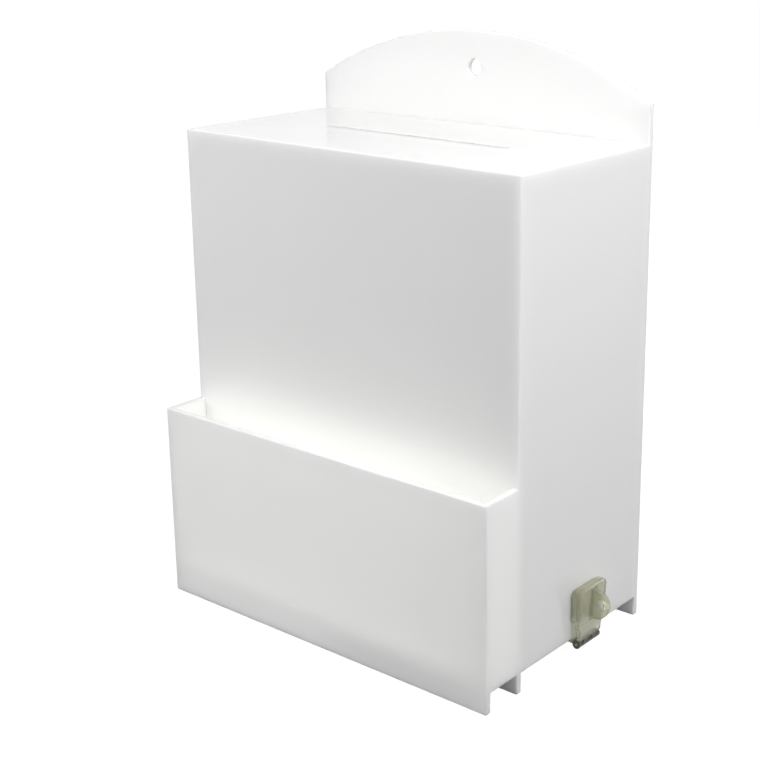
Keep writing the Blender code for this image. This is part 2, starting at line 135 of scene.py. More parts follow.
class Shape:
    """A solid that is being modelled with bmesh operators."""

    def __init__(self) -> None:
        """Starts with nothing."""
        self.bm = bmesh.new()

    @classmethod
    def block(cls, low: Vector, high: Vector) -> "Shape":
        """A straight block.

        Args:
            low: Its lowest corner.
            high: Its highest corner.

        Returns:
            The block.
        """
        shape = cls()
        bmesh.ops.create_cube(shape.bm, size=1)
        bmesh.ops.scale(shape.bm, vec=high - low, verts=shape.bm.verts)
        bmesh.ops.translate(shape.bm, vec=(low + high) / 2, verts=shape.bm.verts)
        return shape

    @classmethod
    def rod(cls, start: Vector, end: Vector, radius: float, steps: int) -> "Shape":
        """A round bar.

        Args:
            start: The middle of one end.
            end: The middle of the other end.
            radius: Its radius.
            steps: How many flats its round is made of.

        Returns:
            The bar.
        """
        shape = cls()
        along = end - start
        bmesh.ops.create_cone(
            shape.bm, cap_ends=True, segments=steps, radius1=radius, radius2=radius, depth=along.length
        )
        turn = along.to_track_quat("Z", "Y").to_matrix().to_4x4()
        return shape.moved(Matrix.Translation((start + end) / 2) @ turn)

    def moved(self, matrix: Matrix) -> "Shape":
        """The same shape, placed by a matrix."""
        bmesh.ops.transform(self.bm, matrix=matrix, verts=self.bm.verts)
        return self

    def edges(self, wanted: Callable[[bmesh.types.BMEdge], bool]) -> list[bmesh.types.BMEdge]:
        """The edges that pass a test."""
        return [edge for edge in self.bm.edges if wanted(edge)]

    def along(self, axis: Vector) -> list[bmesh.types.BMEdge]:
        """The edges that run along an axis.

        Args:
            axis: The axis, with a length of 1.

        Returns:
            The edges.
        """

        def parallel(edge: bmesh.types.BMEdge) -> bool:
            """Whether the edge runs along the axis."""
            run = edge.verts[1].co - edge.verts[0].co
            return run.length > 0 and abs(run.normalized().dot(axis)) > PARALLEL

        return self.edges(parallel)

    def sharp(self) -> list[bmesh.types.BMEdge]:
        """The edges at which two faces turn clearly away from each other."""
        self.bm.normal_update()
        return self.edges(lambda edge: edge.is_manifold and edge.calc_face_angle(0) > SHARP_ANGLE)

    def rounded(
        self, edges: Iterable[bmesh.types.BMEdge], radius: float, segments: int
    ) -> "Shape":
        """Rounds some of the edges.

        Args:
            edges: The edges to round.
            radius: The width that is taken off on each side.
            segments: How many flats the round has.

        Returns:
            The same shape.
        """
        chosen = list(edges)
        if chosen:
            bmesh.ops.bevel(
                self.bm,
                geom=chosen,
                offset=radius,
                offset_type="OFFSET",
                segments=segments,
                profile=0.5,
                affect="EDGES",
                clamp_overlap=False,
                material=-1,
            )
        return self

    def outer_edges(self) -> list[bmesh.types.BMEdge]:
        """The sharp edges that stand out, and not the ones in inner corners."""
        return [edge for edge in self.sharp() if edge.is_convex]

    def outer_edges_within(self, low: Vector, high: Vector) -> list[bmesh.types.BMEdge]:
        """The sharp edges that stand out and lie inside a box.

        Args:
            low: The box's lowest corner.
            high: Its highest corner.

        Returns:
            The edges.
        """

        def inside(vertex: bmesh.types.BMVert) -> bool:
            """Whether the point lies inside the box."""
            return all(start < value < end for start, value, end in zip(low, vertex.co, high))

        return [edge for edge in self.outer_edges() if all(inside(end) for end in edge.verts)]

    def snapped(self) -> "Shape":
        """Moves every coordinate that is off the grid by no more than a rounding error onto it.

        Returns:
            The same shape.
        """
        for vertex in self.bm.verts:
            for axis, value in enumerate(vertex.co):
                on_grid = round(value, GRID_DECIMALS)
                if abs(value - on_grid) < MERGE_DISTANCE:
                    vertex.co[axis] = on_grid
        return self

    def sharp_across(self, axis: Vector) -> list[bmesh.types.BMEdge]:
        """The sharp edges round the two ends that face along an axis.

        Args:
            axis: The axis, with a length of 1.

        Returns:
            The edges.
        """

        def at_end(edge: bmesh.types.BMEdge) -> bool:
            """Whether the edge borders on an end face."""
            return any(abs(face.normal.dot(axis)) > PARALLEL for face in edge.link_faces)

        return [edge for edge in self.sharp() if at_end(edge)]

    def spun(self, middle: Vector, axis: Vector, angle: float, steps: int) -> "Shape":
        """Draws an arc from the only point that is there.

        Args:
            middle: The arc's centre.
            axis: The axis that it turns about.
            angle: How far it turns, in radians.
            steps: How many straight pieces it has.

        Returns:
            The same shape.
        """
        bmesh.ops.spin(
            self.bm,
            geom=list(self.bm.verts),
            cent=middle,
            axis=axis,
            angle=angle,
            steps=steps,
            space=Matrix.Identity(4),
        )
        return self

    def outlined(self, corners: Sequence[Vector]) -> "Shape":
        """Closes a drawn arc by straight lines through more corners.

        Args:
            corners: The corners, from the arc's last point back to its first.

        Returns:
            The same shape.
        """
        ends = [vertex for vertex in self.bm.verts if len(vertex.link_edges) == 1]
        ends.sort(key=lambda vertex: (vertex.co - corners[0]).length)
        path = [ends[0], *(self.bm.verts.new(corner) for corner in corners), ends[1]]
        for pair in zip(path, path[1:]):
            self.bm.edges.new(pair)
        return self

    def pulled(self, way: Vector) -> "Shape":
        """Fills the outline that was drawn, and pulls it out into a solid.

        Args:
            way: How far it is pulled, and where to.

        Returns:
            The same shape.
        """
        filled = bmesh.ops.contextual_create(self.bm, geom=self.bm.edges)
        drawn = bmesh.ops.extrude_face_region(self.bm, geom=filled["faces"])
        far_side = [item for item in drawn["geom"] if isinstance(item, bmesh.types.BMVert)]
        bmesh.ops.translate(self.bm, vec=way, verts=far_side)
        bmesh.ops.recalc_face_normals(self.bm, faces=self.bm.faces)
        return self

    def combined(self, tool: "Shape", how: Cut) -> "Shape":
        """Joins a tool onto the shape, or takes it away.

        Args:
            tool: The other shape, which is used up.
            how: What is done with it.

        Returns:
            The same shape.
        """
        base_piece, tool_piece = self.as_object("base"), tool.as_object("tool")
        boolean = base_piece.modifiers.new("combine", "BOOLEAN")
        boolean.operation = how.value
        boolean.object = tool_piece
        boolean.solver = "EXACT"
        bpy.context.view_layer.update()
        mesh = evaluated_copy(base_piece)
        self.bm = bmesh.new()
        self.bm.from_mesh(mesh)
        for piece in (base_piece, tool_piece):
            old = piece.data
            bpy.data.objects.remove(piece, do_unlink=True)
            bpy.data.meshes.remove(old)
        bpy.data.meshes.remove(mesh)
        bmesh.ops.remove_doubles(self.bm, verts=self.bm.verts, dist=MERGE_DISTANCE)
        bmesh.ops.dissolve_limit(
            self.bm, angle_limit=FLAT_ANGLE, verts=self.bm.verts, edges=self.bm.edges
        )
        return self

    def as_object(self, name: str) -> bpy.types.Object:
        """Ends the modelling, and puts the shape into an object at the origin.

        Args:
            name: The object's name.

        Returns:
            The object.
        """
        mesh = bpy.data.meshes.new(name)
        self.bm.to_mesh(mesh)
        self.bm.free()
        return new_object(name, mesh)


def axes_at(place: Vector, across: Vector, up: Vector) -> Matrix:
    """The matrix that moves a shape's origin to a place and turns its X across and its Z up."""
    axes = Matrix((across, up.cross(across), up)).transposed()
    return Matrix.Translation(place) @ axes.to_4x4()


# Finishes


class Wiring:
    """A node tree that is being wired."""

    def __init__(self, tree: bpy.types.NodeTree) -> None:
        """Takes the tree to add to."""
        self.tree = tree

    def add(
        self, kind: str, settings: dict[str, Any] | None = None, **inputs: Any
    ) -> bpy.types.Node:
        """Adds a node.

        Args:
            kind: The node's type name in Blender.
            settings: Values of the node itself, such as its operation.
            inputs: Values or other sockets for its inputs. An underscore stands for a space, and
                a name such as input_0 is an input by its number.

        Returns:
            The node.
        """
        node = self.tree.nodes.new(kind)
        for name, value in (settings or {}).items():
            setattr(node, name, value)
        for name, value in inputs.items():
            number = name.removeprefix("input_")
            key: Any = int(number) if number.isdigit() else name.replace("_", " ")
            if isinstance(value, bpy.types.NodeSocket):
                self.tree.links.new(value, node.inputs[key])
            else:
                node.inputs[key].default_value = value
        return node

    def math(self, operation: str, *values: Any) -> bpy.types.NodeSocket:
        """The result of a Math node on up to three values."""
        inputs = {f"input_{number}": value for number, value in enumerate(values)}
        return self.add("ShaderNodeMath", {"operation": operation}, **inputs).outputs[0]

    def vector_math(self, operation: str, *values: Any) -> bpy.types.NodeSocket:
        """The vector that a Vector Math node makes of other vectors.

        Args:
            operation: What the node does.
            values: Vectors or sockets.

        Returns:
            The vector's socket.
        """
        inputs = {f"input_{number}": value for number, value in enumerate(values)}
        node = self.add("ShaderNodeVectorMath", {"operation": operation}, **inputs)
        return node.outputs["Vector"]

    def length(self, vector: bpy.types.NodeSocket) -> bpy.types.NodeSocket:
        """A vector's length."""
        node = self.add("ShaderNodeVectorMath", {"operation": "LENGTH"}, input_0=vector)
        return node.outputs["Value"]

    def scaled(self, colour: Sequence[float], share: bpy.types.NodeSocket) -> bpy.types.NodeSocket:
        """A colour times a value."""
        node = self.add("ShaderNodeVectorMath", {"operation": "SCALE"}, input_0=colour, Scale=share)
        return node.outputs["Vector"]

    def noise(
        self, where: bpy.types.NodeSocket, scale: float, detail: float, stretch: Sequence[float]
    ) -> bpy.types.NodeSocket:
        """A noise, stretched along the axes.

        Args:
            where: The socket with the place on the surface.
            scale: How many features a metre has.
            detail: How many finer layers are added.
            stretch: How much finer it is along each axis.

        Returns:
            The noise's value socket.
        """
        mapped = self.add("ShaderNodeMapping", Vector=where, Scale=stretch)
        node = self.add(
            "ShaderNodeTexNoise",
            Vector=mapped.outputs[0],
            Scale=scale,
            Detail=detail,
            Roughness=NOISE_ROUGHNESS,
        )
        return node.outputs[0]

    def ranged(
        self, value: bpy.types.NodeSocket, low: float, high: float, to_low: float, to_high: float
    ) -> bpy.types.NodeSocket:
        """A value that is moved from one range to another, and held inside it.

        Args:
            value: The value's socket.
            low: Where the first range starts.
            high: Where the first range ends.
            to_low: What its start becomes.
            to_high: What its end becomes.

        Returns:
            The moved value's socket.
        """
        node = self.add(
            "ShaderNodeMapRange",
            Value=value,
            From_Min=low,
            From_Max=high,
            To_Min=to_low,
            To_Max=to_high,
        )
        return node.outputs[0]

    def dressed(
        self,
        colour: bpy.types.NodeSocket,
        roughness: bpy.types.NodeSocket,
        height: bpy.types.NodeSocket,
    ) -> bpy.types.Node:
        """Feeds a material's Principled shader.

        Args:
            colour: The colour's socket.
            roughness: The roughness's socket.
            height: The socket with the bump height in metres.

        Returns:
            The shader.
        """
        bump = self.add("ShaderNodeBump", Height=height, Distance=1.0).outputs[0]
        shader = self.tree.nodes["Principled BSDF"]
        for source, socket in ((colour, "Base Color"), (roughness, "Roughness"), (bump, "Normal")):
            self.tree.links.new(source, shader.inputs[socket])
        return shader


def new_group(
    name: str, vectors: Sequence[str], numbers: Sequence[str], results: Sequence[str]
) -> bpy.types.NodeTree:
    """Starts a shader node group.

    Args:
        name: The group's name.
        vectors: The names of its vector inputs.
        numbers: The names of its number inputs, which come after them.
        results: The names of its number outputs.

    Returns:
        The group, which has its sockets and no nodes.
    """
    group = bpy.data.node_groups.new(name, "ShaderNodeTree")
    for socket in vectors:
        group.interface.new_socket(socket, in_out="INPUT", socket_type="NodeSocketVector")
    for socket in numbers:
        group.interface.new_socket(socket, in_out="INPUT", socket_type="NodeSocketFloat")
    for socket in results:
        group.interface.new_socket(socket, in_out="OUTPUT", socket_type="NodeSocketFloat")
    return group


@dataclass(frozen=True)
class HandlingMarks:
    """What handling leaves on a smooth surface: cloudiness, smudges, waves and hairlines."""

    name: str = "handling_marks"
    cloud_detail: float = 3.0
    smudge_detail: float = 6.0
    smudge_distortion: float = 0.6
    smudge_start: float = 0.45
    smudge_end: float = 0.75
    waves_per_metre: float = 26.0
    wave_detail: float = 1.0
    hairline_detail: float = 2.0
    hairline_start: float = 0.70
    hairline_end: float = 0.76
    hairlines_per_metre: tuple[tuple[float, float, float], ...] = (
        (9, 260, 31),
        (230, 14, 120),
        (160, 190, 7),
    )

    def group(self) -> bpy.types.NodeTree:
        """The node group that draws the marks, which is built once.

        Returns:
            The group. Its Cloud is a faint change of tone around 0, its Smudge is 0 to 1, and its
            Height is a bump height in metres.
        """
        if self.name in bpy.data.node_groups:
            return bpy.data.node_groups[self.name]
        numbers = ("Cloud Scale", "Smudge Scale", "Wave Height", "Hairline Depth")
        group = new_group(self.name, ("Place",), numbers, ("Cloud", "Smudge", "Height"))
        wiring = Wiring(group)
        start = wiring.add("NodeGroupInput").outputs
        place = start["Place"]
        cloud = wiring.add(
            "ShaderNodeTexNoise", Vector=place, Scale=start["Cloud Scale"], Detail=self.cloud_detail
        )
        smudge = wiring.add(
            "ShaderNodeTexNoise",
            Vector=place,
            Scale=start["Smudge Scale"],
            Detail=self.smudge_detail,
            Distortion=self.smudge_distortion,
        )
        wave = wiring.noise(place, self.waves_per_metre, self.wave_detail, (1, 1, 1))
        depth = wiring.math("MULTIPLY", self.hairlines(wiring, place), start["Hairline Depth"])
        swell = wiring.math("MULTIPLY", wave, start["Wave Height"])
        wiring.add(
            "NodeGroupOutput",
            Cloud=wiring.math("SUBTRACT", cloud.outputs[0], NOISE_MIDDLE),
            Smudge=wiring.ranged(
                smudge.outputs[0], self.smudge_start, self.smudge_end, 0.0, 1.0
            ),
            Height=wiring.math("SUBTRACT", swell, depth),
        )
        return group

    def hairlines(self, wiring: Wiring, place: bpy.types.NodeSocket) -> bpy.types.NodeSocket:
        """Fine scratches that run in three directions.

        Args:
            wiring: The tree to add to.
            place: The socket with the place on the surface.

        Returns:
            The socket with a value that is 1 in a scratch and 0 beside it.
        """
        directions = [
            wiring.ranged(
                wiring.noise(place, 1.0, self.hairline_detail, stretch),
                self.hairline_start,
                self.hairline_end,
                0.0,
                1.0,
            )
            for stretch in self.hairlines_per_metre
        ]
        first, second, third = directions
        return wiring.math("MAXIMUM", wiring.math("MAXIMUM", first, second), third)


@dataclass(frozen=True)
class BarrelShade:
    """Painted shade round a barrel that runs along Y: a dark colour that thins out away from it."""

    axis: Vector
    reach: float = 0.0027
    fade: float = 0.0024
    unevenness: float = 0.0020
    # The dark colour of the painted shade round the barrel
    colour: tuple[float, float, float] = (0.085, 0.072, 0.048)
    patches_per_metre: float = 420.0
    patch_detail: float = 3.0
    patch_stretch: tuple[float, float, float] = (1, 0.6, 1)

    def group(self) -> bpy.types.NodeTree:
        """The node group for this painted shade, which is built once.

        Returns:
            The group. Its Mask is 1 on the barrel and 0 away from it, with an uneven edge.
        """
        name = "barrel_dirt"
        if name in bpy.data.node_groups:
            return bpy.data.node_groups[name]
        group = new_group(name, ("Place", "Axis"), ("Reach", "Fade", "Unevenness"), ("Mask",))
        wiring = Wiring(group)
        start = wiring.add("NodeGroupInput").outputs
        away = wiring.vector_math("SUBTRACT", start["Place"], start["Axis"])
        distance = wiring.length(wiring.vector_math("MULTIPLY", away, RIGHT + UP))
        patches = wiring.noise(
            start["Place"], self.patches_per_metre, self.patch_detail, self.patch_stretch
        )
        offset = wiring.math("SUBTRACT", patches, NOISE_MIDDLE)
        edge = wiring.math("ADD", distance, wiring.math("MULTIPLY", offset, start["Unevenness"]))
        past = wiring.math("DIVIDE", wiring.math("SUBTRACT", edge, start["Reach"]), start["Fade"])
        wiring.add("NodeGroupOutput", Mask=wiring.ranged(past, 0.0, 1.0, 1.0, 0.0))
        return group

    def over(
        self, wiring: Wiring, place: bpy.types.NodeSocket, unshaded: bpy.types.NodeSocket
    ) -> bpy.types.NodeSocket:
        """A colour with the painted shade over it.

        Args:
            wiring: The tree to add to.
            place: The socket with the place on the surface.
            unshaded: The socket with the colour without the painted shade.

        Returns:
            The socket with the colour.
        """
        shade_mask = wiring.add(
            "ShaderNodeGroup",
            {"node_tree": self.group()},
            Place=place,
            Axis=self.axis,
            Reach=self.reach,
            Fade=self.fade,
            Unevenness=self.unevenness,
        ).outputs["Mask"]
        mixed = wiring.add(
            "ShaderNodeMix",
            {"data_type": "RGBA"},
            input_0=shade_mask,
            input_6=unshaded,
            input_7=(*self.colour, 1.0),
        )
        return mixed.outputs[2]


def new_material(name: str) -> tuple[bpy.types.Material, Wiring]:
    """Starts a material.

    Args:
        name: The material's name.

    Returns:
        The material, with a Principled shader, and its tree's wiring.
    """
    material = bpy.data.materials.new(name)
    material.use_nodes = True
    return material, Wiring(material.node_tree)


@dataclass(frozen=True)
class PlasticFinish:
    """A moulded or cast plastic: its colour, gloss, clearness, marks of handling and any painted
    shade.
    """

    name: str
    slot: Slot
    colour: tuple[float, float, float]
    tone_change: float
    roughness: float
    smudge_roughness: float
    wave_height: float
    hairline_depth: float
    cloud_scale: float = 9.0
    smudge_scale: float = 38.0
    ior: float = 1.49
    transmission: float = 0.0
    glow_depth: float = 0.0
    glow_share: float = 0.0
    # Painted shade that darkens the colour round a barrel, if any
    painted_shade: BarrelShade | None = None

    def material(self) -> bpy.types.Material:
        """The finish's material, which is built once.

        Returns:
            The material, in which the tone, the roughness and the bump change over the surface.
        """
        if self.name in bpy.data.materials:
            return bpy.data.materials[self.name]
        material, wiring = new_material(self.name)
        place = wiring.add("ShaderNodeTexCoord").outputs["Object"]
        marks = wiring.add(
            "ShaderNodeGroup",
            {"node_tree": HandlingMarks().group()},
            Place=place,
            Cloud_Scale=self.cloud_scale,
            Smudge_Scale=self.smudge_scale,
            Wave_Height=self.wave_height,
            Hairline_Depth=self.hairline_depth,
        ).outputs
        tone = wiring.math("MULTIPLY_ADD", marks["Cloud"], self.tone_change, 1.0)
        colour = wiring.scaled(self.colour, tone)
        # Painted shade darkens the colour round the barrel
        if self.painted_shade:
            colour = self.painted_shade.over(wiring, place, colour)
        rough = self.roughness + self.smudge_roughness
        gloss = wiring.ranged(marks["Smudge"], 0.0, 1.0, self.roughness, rough)
        shader = wiring.dressed(colour, gloss, marks["Height"])
        shader.inputs["IOR"].default_value = self.ior
        shader.inputs["Transmission Weight"].default_value = self.transmission
        shader.inputs["Subsurface Weight"].default_value = self.glow_share
        shader.inputs["Subsurface Scale"].default_value = self.glow_depth
        shader.inputs["Subsurface Radius"].default_value = (1.0, 1.0, 1.0)
        return material


@dataclass(frozen=True)
class WireFinish:
    """Drawn steel wire, with fine lines along its length and a slight change of tone."""

    name: str = "drawn_wire"
    slot: Slot = Slot.STEEL
    colour: tuple[float, float, float] = (0.24, 0.21, 0.17)
    roughness: float = 0.24
    line_roughness: float = 0.22
    line_height: float = 4e-6
    lines_per_metre: tuple[float, float, float] = (4000, 60, 4000)
    line_detail: float = 2.0
    line_start: float = 0.3
    line_end: float = 0.7
    darkest: float = 0.9
    lightest: float = 1.05

    def material(self) -> bpy.types.Material:
        """The finish's material, which is built once.

        Returns:
            The material, whose lines run along Y, as the pins do.
        """
        if self.name in bpy.data.materials:
            return bpy.data.materials[self.name]
        material, wiring = new_material(self.name)
        place = wiring.add("ShaderNodeTexCoord").outputs["Object"]
        lines = wiring.noise(place, 1.0, self.line_detail, self.lines_per_metre)
        span = self.line_start, self.line_end
        colour = wiring.scaled(self.colour, wiring.ranged(lines, *span, self.darkest, self.lightest))
        rough = self.roughness + self.line_roughness
        gloss = wiring.ranged(lines, *span, self.roughness, rough)
        height = wiring.math("MULTIPLY", lines, self.line_height)
        shader = wiring.dressed(colour, gloss, height)
        shader.inputs["Metallic"].default_value = 1.0
        return material


OPAL_SHEET = PlasticFinish(
    name="opal_cast_sheet",
    slot=Slot.OPAL,
    colour=(0.955, 0.955, 0.941),
    tone_change=0.03,
    roughness=0.07,
    smudge_roughness=0.07,
    wave_height=5e-6,
    hairline_depth=2e-6,
    glow_depth=0.005,
    glow_share=1.0,
)
CLEAR_MOULDING = PlasticFinish(
    name="clear_moulding",
    slot=Slot.CLEAR,
    colour=(0.72, 0.72, 0.59),
    tone_change=0.10,
    roughness=0.24,
    smudge_roughness=0.03,
    wave_height=1.2e-5,
    hairline_depth=3e-6,
    cloud_scale=160.0,
    smudge_scale=240.0,
    transmission=0.80,
)
PIN_WIRE = WireFinish()


def placed(
    shape: Shape,
    nodes: Sequence[str],
    body: Body,
    finish: PlasticFinish | WireFinish,
    name: str = "",
) -> bpy.types.Object:
    """Ends a piece: dresses it, and lets it stand for its nodes on its body.

    Args:
        shape: The modelled shape, in the part's frame.
        nodes: The nodes that it stands for.
        body: The body that it rides on.
        finish: What it is made of.
        name: Its name, or nothing for one made from the first node's.

    Returns:
        The finished piece.
    """
    bmesh.ops.remove_doubles(shape.bm, verts=shape.bm.verts, dist=MERGE_DISTANCE)
    bmesh.ops.recalc_face_normals(shape.bm, faces=shape.bm.faces)
    piece = shape.as_object(name or f"{nodes[0]}_finished")
    piece.data.materials.append(finish.material())
    piece.data.shade_smooth()
    piece.data.set_sharp_from_angle(angle=SHARP_ANGLE)
    weighted = piece.modifiers.new("flat_faces_stay_flat", "WEIGHTED_NORMAL")
    weighted.mode = "FACE_AREA"
    weighted.weight = FLAT_FACE_WEIGHT
    weighted.keep_sharp = True
    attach(piece, body.value)
    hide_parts(*nodes)
    LOG.info("%s: %d faces, rides on %s", piece.name, len(piece.data.polygons), body.value)
    return piece


# Opal sheets


@dataclass(frozen=True)
class Sheet:
    """A sheet of the case, and the sides on which it is welded against its neighbours."""

    node: str
    welded: tuple[Vector, ...]


@dataclass
class OpalCase:
    """The case, welded from sheets of one thickness into one piece, and its bottom door."""

    joint_gap: float = 0.0003
    weld_depth: float = 0.002
    edge_radius: float = 0.0010
    cut_radius: float = 0.0005
    edge_segments: int = 4
    slot_length: float = 0.140
    slot_width: float = 0.0055
    slot_segments: int = 12
    shoulder_rise: float = 0.023
    hole_radius: float = 0.0053
    hole_drop: float = 0.0225
    hole_steps: int = 96
    crown_steps: int = 96
    # The crown stays this far under the top of the solids, so that rounding can't lift it past
    crown_margin: float = 0.000002
    top: Sheet = Sheet("top_panel", (REAR,))
    back: Sheet = Sheet("back_panel", ())
    straight: tuple[Sheet, ...] = (
        Sheet("pocket_floor", (LEFT, RIGHT, FRONT, REAR)),
        Sheet("pocket_left_cheek", (FRONT, REAR)),
        Sheet("pocket_right_cheek", (FRONT, REAR)),
        Sheet("pocket_front_panel", ()),
        Sheet("front_panel", (UP,)),
        Sheet("left_side_panel", (UP, FRONT, REAR)),
        Sheet("right_side_panel", (UP, FRONT, REAR)),
    )

    def corners(self, sheet: Sheet) -> tuple[Vector, Vector]:
        """The sheet's lowest and highest corner, sunk into its neighbours on its welded sides.

        Args:
            sheet: The sheet.

        Returns:
            The two corners, on a common grid so that flush faces stay flush.
        """
        low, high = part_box(sheet.node)
        for side in sheet.welded:
            sunk = side * (self.joint_gap + self.weld_depth)
            if min(side) < 0:
                low = low + sunk
            else:
                high = high + sunk
        return tuple(Vector(round(value, GRID_DECIMALS) for value in end) for end in (low, high))

    def top_sheet(self) -> Shape:
        """The top, with the round-ended paper slot through it and the slot's rims eased.

        Returns:
            The sheet.
        """
        low, high = self.corners(self.top)
        body_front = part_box("front_panel")[0].y
        body_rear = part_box("back_panel")[1].y
        middle = Vector(((low.x + high.x) / 2, (body_front + body_rear) / 2, (low.z + high.z) / 2))
        half = Vector((self.slot_length / 2, self.slot_width / 2, (high.z - low.z) / 2 + OVERRUN))
        tool = Shape.block(middle - half, middle + half)
        tool.rounded(tool.along(UP), self.slot_width / 2 * ROUND_SHARE, self.slot_segments)
        sheet = Shape.block(low, high).combined(tool, Cut.TAKE_AWAY)
        margin = Vector((OVERRUN, OVERRUN, OVERRUN))
        rim = sheet.outer_edges_within(middle - half - margin, middle + half + margin)
        return sheet.rounded(rim, self.cut_radius, self.edge_segments)

    def back_sheet(self) -> Shape:
        """The back: straight sides, an arched hanging tab, and the round hole in it with eased rims.

        Returns:
            The sheet.
        """
        low, high = self.corners(self.back)
        shoulder = self.corners(self.top)[1].z + self.shoulder_rise
        rise, half_width = high.z - self.crown_margin - shoulder, (high.x - low.x) / 2
        middle_x = (low.x + high.x) / 2
        radius = (half_width**2 + rise**2) / (2 * rise)
        half_angle = asin(half_width / radius)
        shape = Shape()
        shape.bm.verts.new((low.x, low.y, shoulder))
        crown_middle = Vector((middle_x, low.y, shoulder + rise - radius))
        shape.spun(crown_middle, REAR, 2 * half_angle, self.crown_steps)
        shape.outlined([Vector((high.x, low.y, low.z)), Vector((low.x, low.y, low.z))])
        shape.pulled(REAR * (high.y - low.y))
        hole_middle = Vector((middle_x, (low.y + high.y) / 2, high.z - self.hole_drop))
        reach = REAR * ((high.y - low.y) / 2 + OVERRUN)
        bore = Shape.rod(hole_middle - reach, hole_middle + reach, self.hole_radius, self.hole_steps)
        shape.combined(bore, Cut.TAKE_AWAY)
        half = self.hole_radius + OVERRUN
        margin = Vector((half, half, half))
        rim = shape.outer_edges_within(hole_middle - margin, hole_middle + margin)
        return shape.rounded(rim, self.cut_radius, self.edge_segments)

    def welded_case(self) -> Shape:
        """All the sheets of the case as one piece, with its free edges rounded.

        Returns:
            The case.
        """
        straight = [Shape.block(*self.corners(sheet)) for sheet in self.straight]
        case, *others = (*straight, self.top_sheet(), self.back_sheet())
        case.snapped()
        for shape in others:
            case.combined(shape.snapped(), Cut.JOIN).snapped()
        return case.rounded(case.outer_edges(), self.edge_radius, self.edge_segments)

    def build(self) -> list[bpy.types.Object]:
        """Builds the case and the door.

        Returns:
            The finished pieces.
        """
        nodes = [sheet.node for sheet in (self.back, self.top, *self.straight)]
        door = Shape.block(*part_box("bottom_door"))
        door.rounded(door.sharp(), self.cut_radius, self.edge_segments)
        return [
            placed(self.welded_case(), nodes, Body.CASE, OPAL_SHEET, "welded_case"),
            placed(door, ["bottom_door"], Body.DOOR, OPAL_SHEET, "bottom_door_finished"),
        ]


# Clear plastic fittings


@dataclass
class Fitting:
    """What the hinges and the hasp share: their barrel, pin, leaves and moulded edges."""

    barrel_radius: float = 0.0025
    pin_radius: float = 0.0010
    bore_radius: float = 0.0013
    leaf_thickness: float = 0.0022
    leaf_corner: float = 0.0030
    knuckles: int = 5
    knuckle_gap: float = 0.0003
    # The solids lie off the sheets that they are glued to, and the finished plates nearly touch
    cad_seat_gap: float = 0.0003
    seat_gap: float = 0.00003
    moulded_radius: float = 0.00035
    moulded_segments: int = 3
    barrel_steps: int = 64
    bore_steps: int = 48
    # The knuckles stand this far proud of the plate, so that no faces of the two coincide
    proud: float = 0.00005
    corner_segments: int = 10

    def spans(self, length: float, first: int) -> list[tuple[float, float]]:
        """Where every second knuckle starts and ends along the barrel.

        Args:
            length: The barrel's length.
            first: The number of the first knuckle, from 0.

        Returns:
            The start and end of each, from the barrel's middle.
        """
        knuckle = (length - (self.knuckles - 1) * self.knuckle_gap) / self.knuckles
        starts = [-length / 2 + i * (knuckle + self.knuckle_gap) for i in range(self.knuckles)]
        return [(start, start + knuckle) for start in starts[first::2]]

    def knuckle(self, start: float, end: float) -> Shape:
        """One knuckle in the leaf's own frame: a bored round eye that runs out into the plate.

        Args:
            start: Where it starts along the barrel, from the barrel's middle.
            end: Where it ends.

        Returns:
            The knuckle, with its rims eased.
        """
        outer = self.barrel_radius
        floor = outer - self.leaf_thickness - self.proud
        open_angle = acos(floor / outer)
        shape = Shape()
        shape.bm.verts.new((0, start, outer))
        shape.spun(REAR * start, FRONT, 2 * pi - open_angle, self.barrel_steps)
        root = outer + self.knuckle_gap + OVERRUN
        shape.outlined([Vector((root, start, z)) for z in (floor, outer)])
        shape.pulled(REAR * (end - start))
        shape.rounded(shape.sharp_across(REAR), self.moulded_radius / 2, self.moulded_segments)
        reach = REAR * OVERRUN
        bore = Shape.rod(REAR * start - reach, REAR * end + reach, self.bore_radius, self.bore_steps)
        return shape.combined(bore, Cut.TAKE_AWAY)

    def add_knuckles(self, plate: Shape, length: float, first: int) -> Shape:
        """Joins knuckles onto a plate, in the leaf's own frame.

        Args:
            plate: The leaf's plate, which runs along X at the barrel's tangent.
            length: The barrel's length along Y.
            first: The number of the first knuckle, from 0.

        Returns:
            The plate with its knuckles.
        """
        for start, end in self.spans(length, first):
            plate.combined(self.knuckle(start, end), Cut.JOIN)
        return plate

    def leaf(self, length: float, reach: float, first: int) -> Shape:
        """A leaf in its own frame, with the barrel along Y and the plate along X.

        Args:
            length: The length of the barrel and the plate.
            reach: How far the plate reaches from the axis.
            first: The number of its first knuckle, from 0.

        Returns:
            The leaf.
        """
        outer = self.barrel_radius
        seat = self.cad_seat_gap - self.seat_gap
        half = length / 2 - self.proud
        low = Vector((outer + self.knuckle_gap, -half, outer - self.leaf_thickness))
        plate = Shape.block(low, Vector((reach, half, outer + seat)))
        corners = [edge for edge in plate.along(UP) if edge.verts[0].co.x > reach / 2]
        plate.rounded(corners, self.leaf_corner, self.corner_segments)
        plate.rounded(plate.sharp(), self.moulded_radius / 2, self.moulded_segments)
        return self.add_knuckles(plate, length, first)

    def pin(self, place: Vector, length: float) -> Shape:
        """A steel pin along Y, with domed ends.

        Args:
            place: Its middle.
            length: Its length.

        Returns:
            The pin.
        """
        reach = REAR * (length / 2)
        pin = Shape.rod(place - reach, place + reach, self.pin_radius, self.barrel_steps // 2)
        return pin.rounded(pin.sharp(), self.pin_radius * PIN_DOME_SHARE, self.moulded_segments)


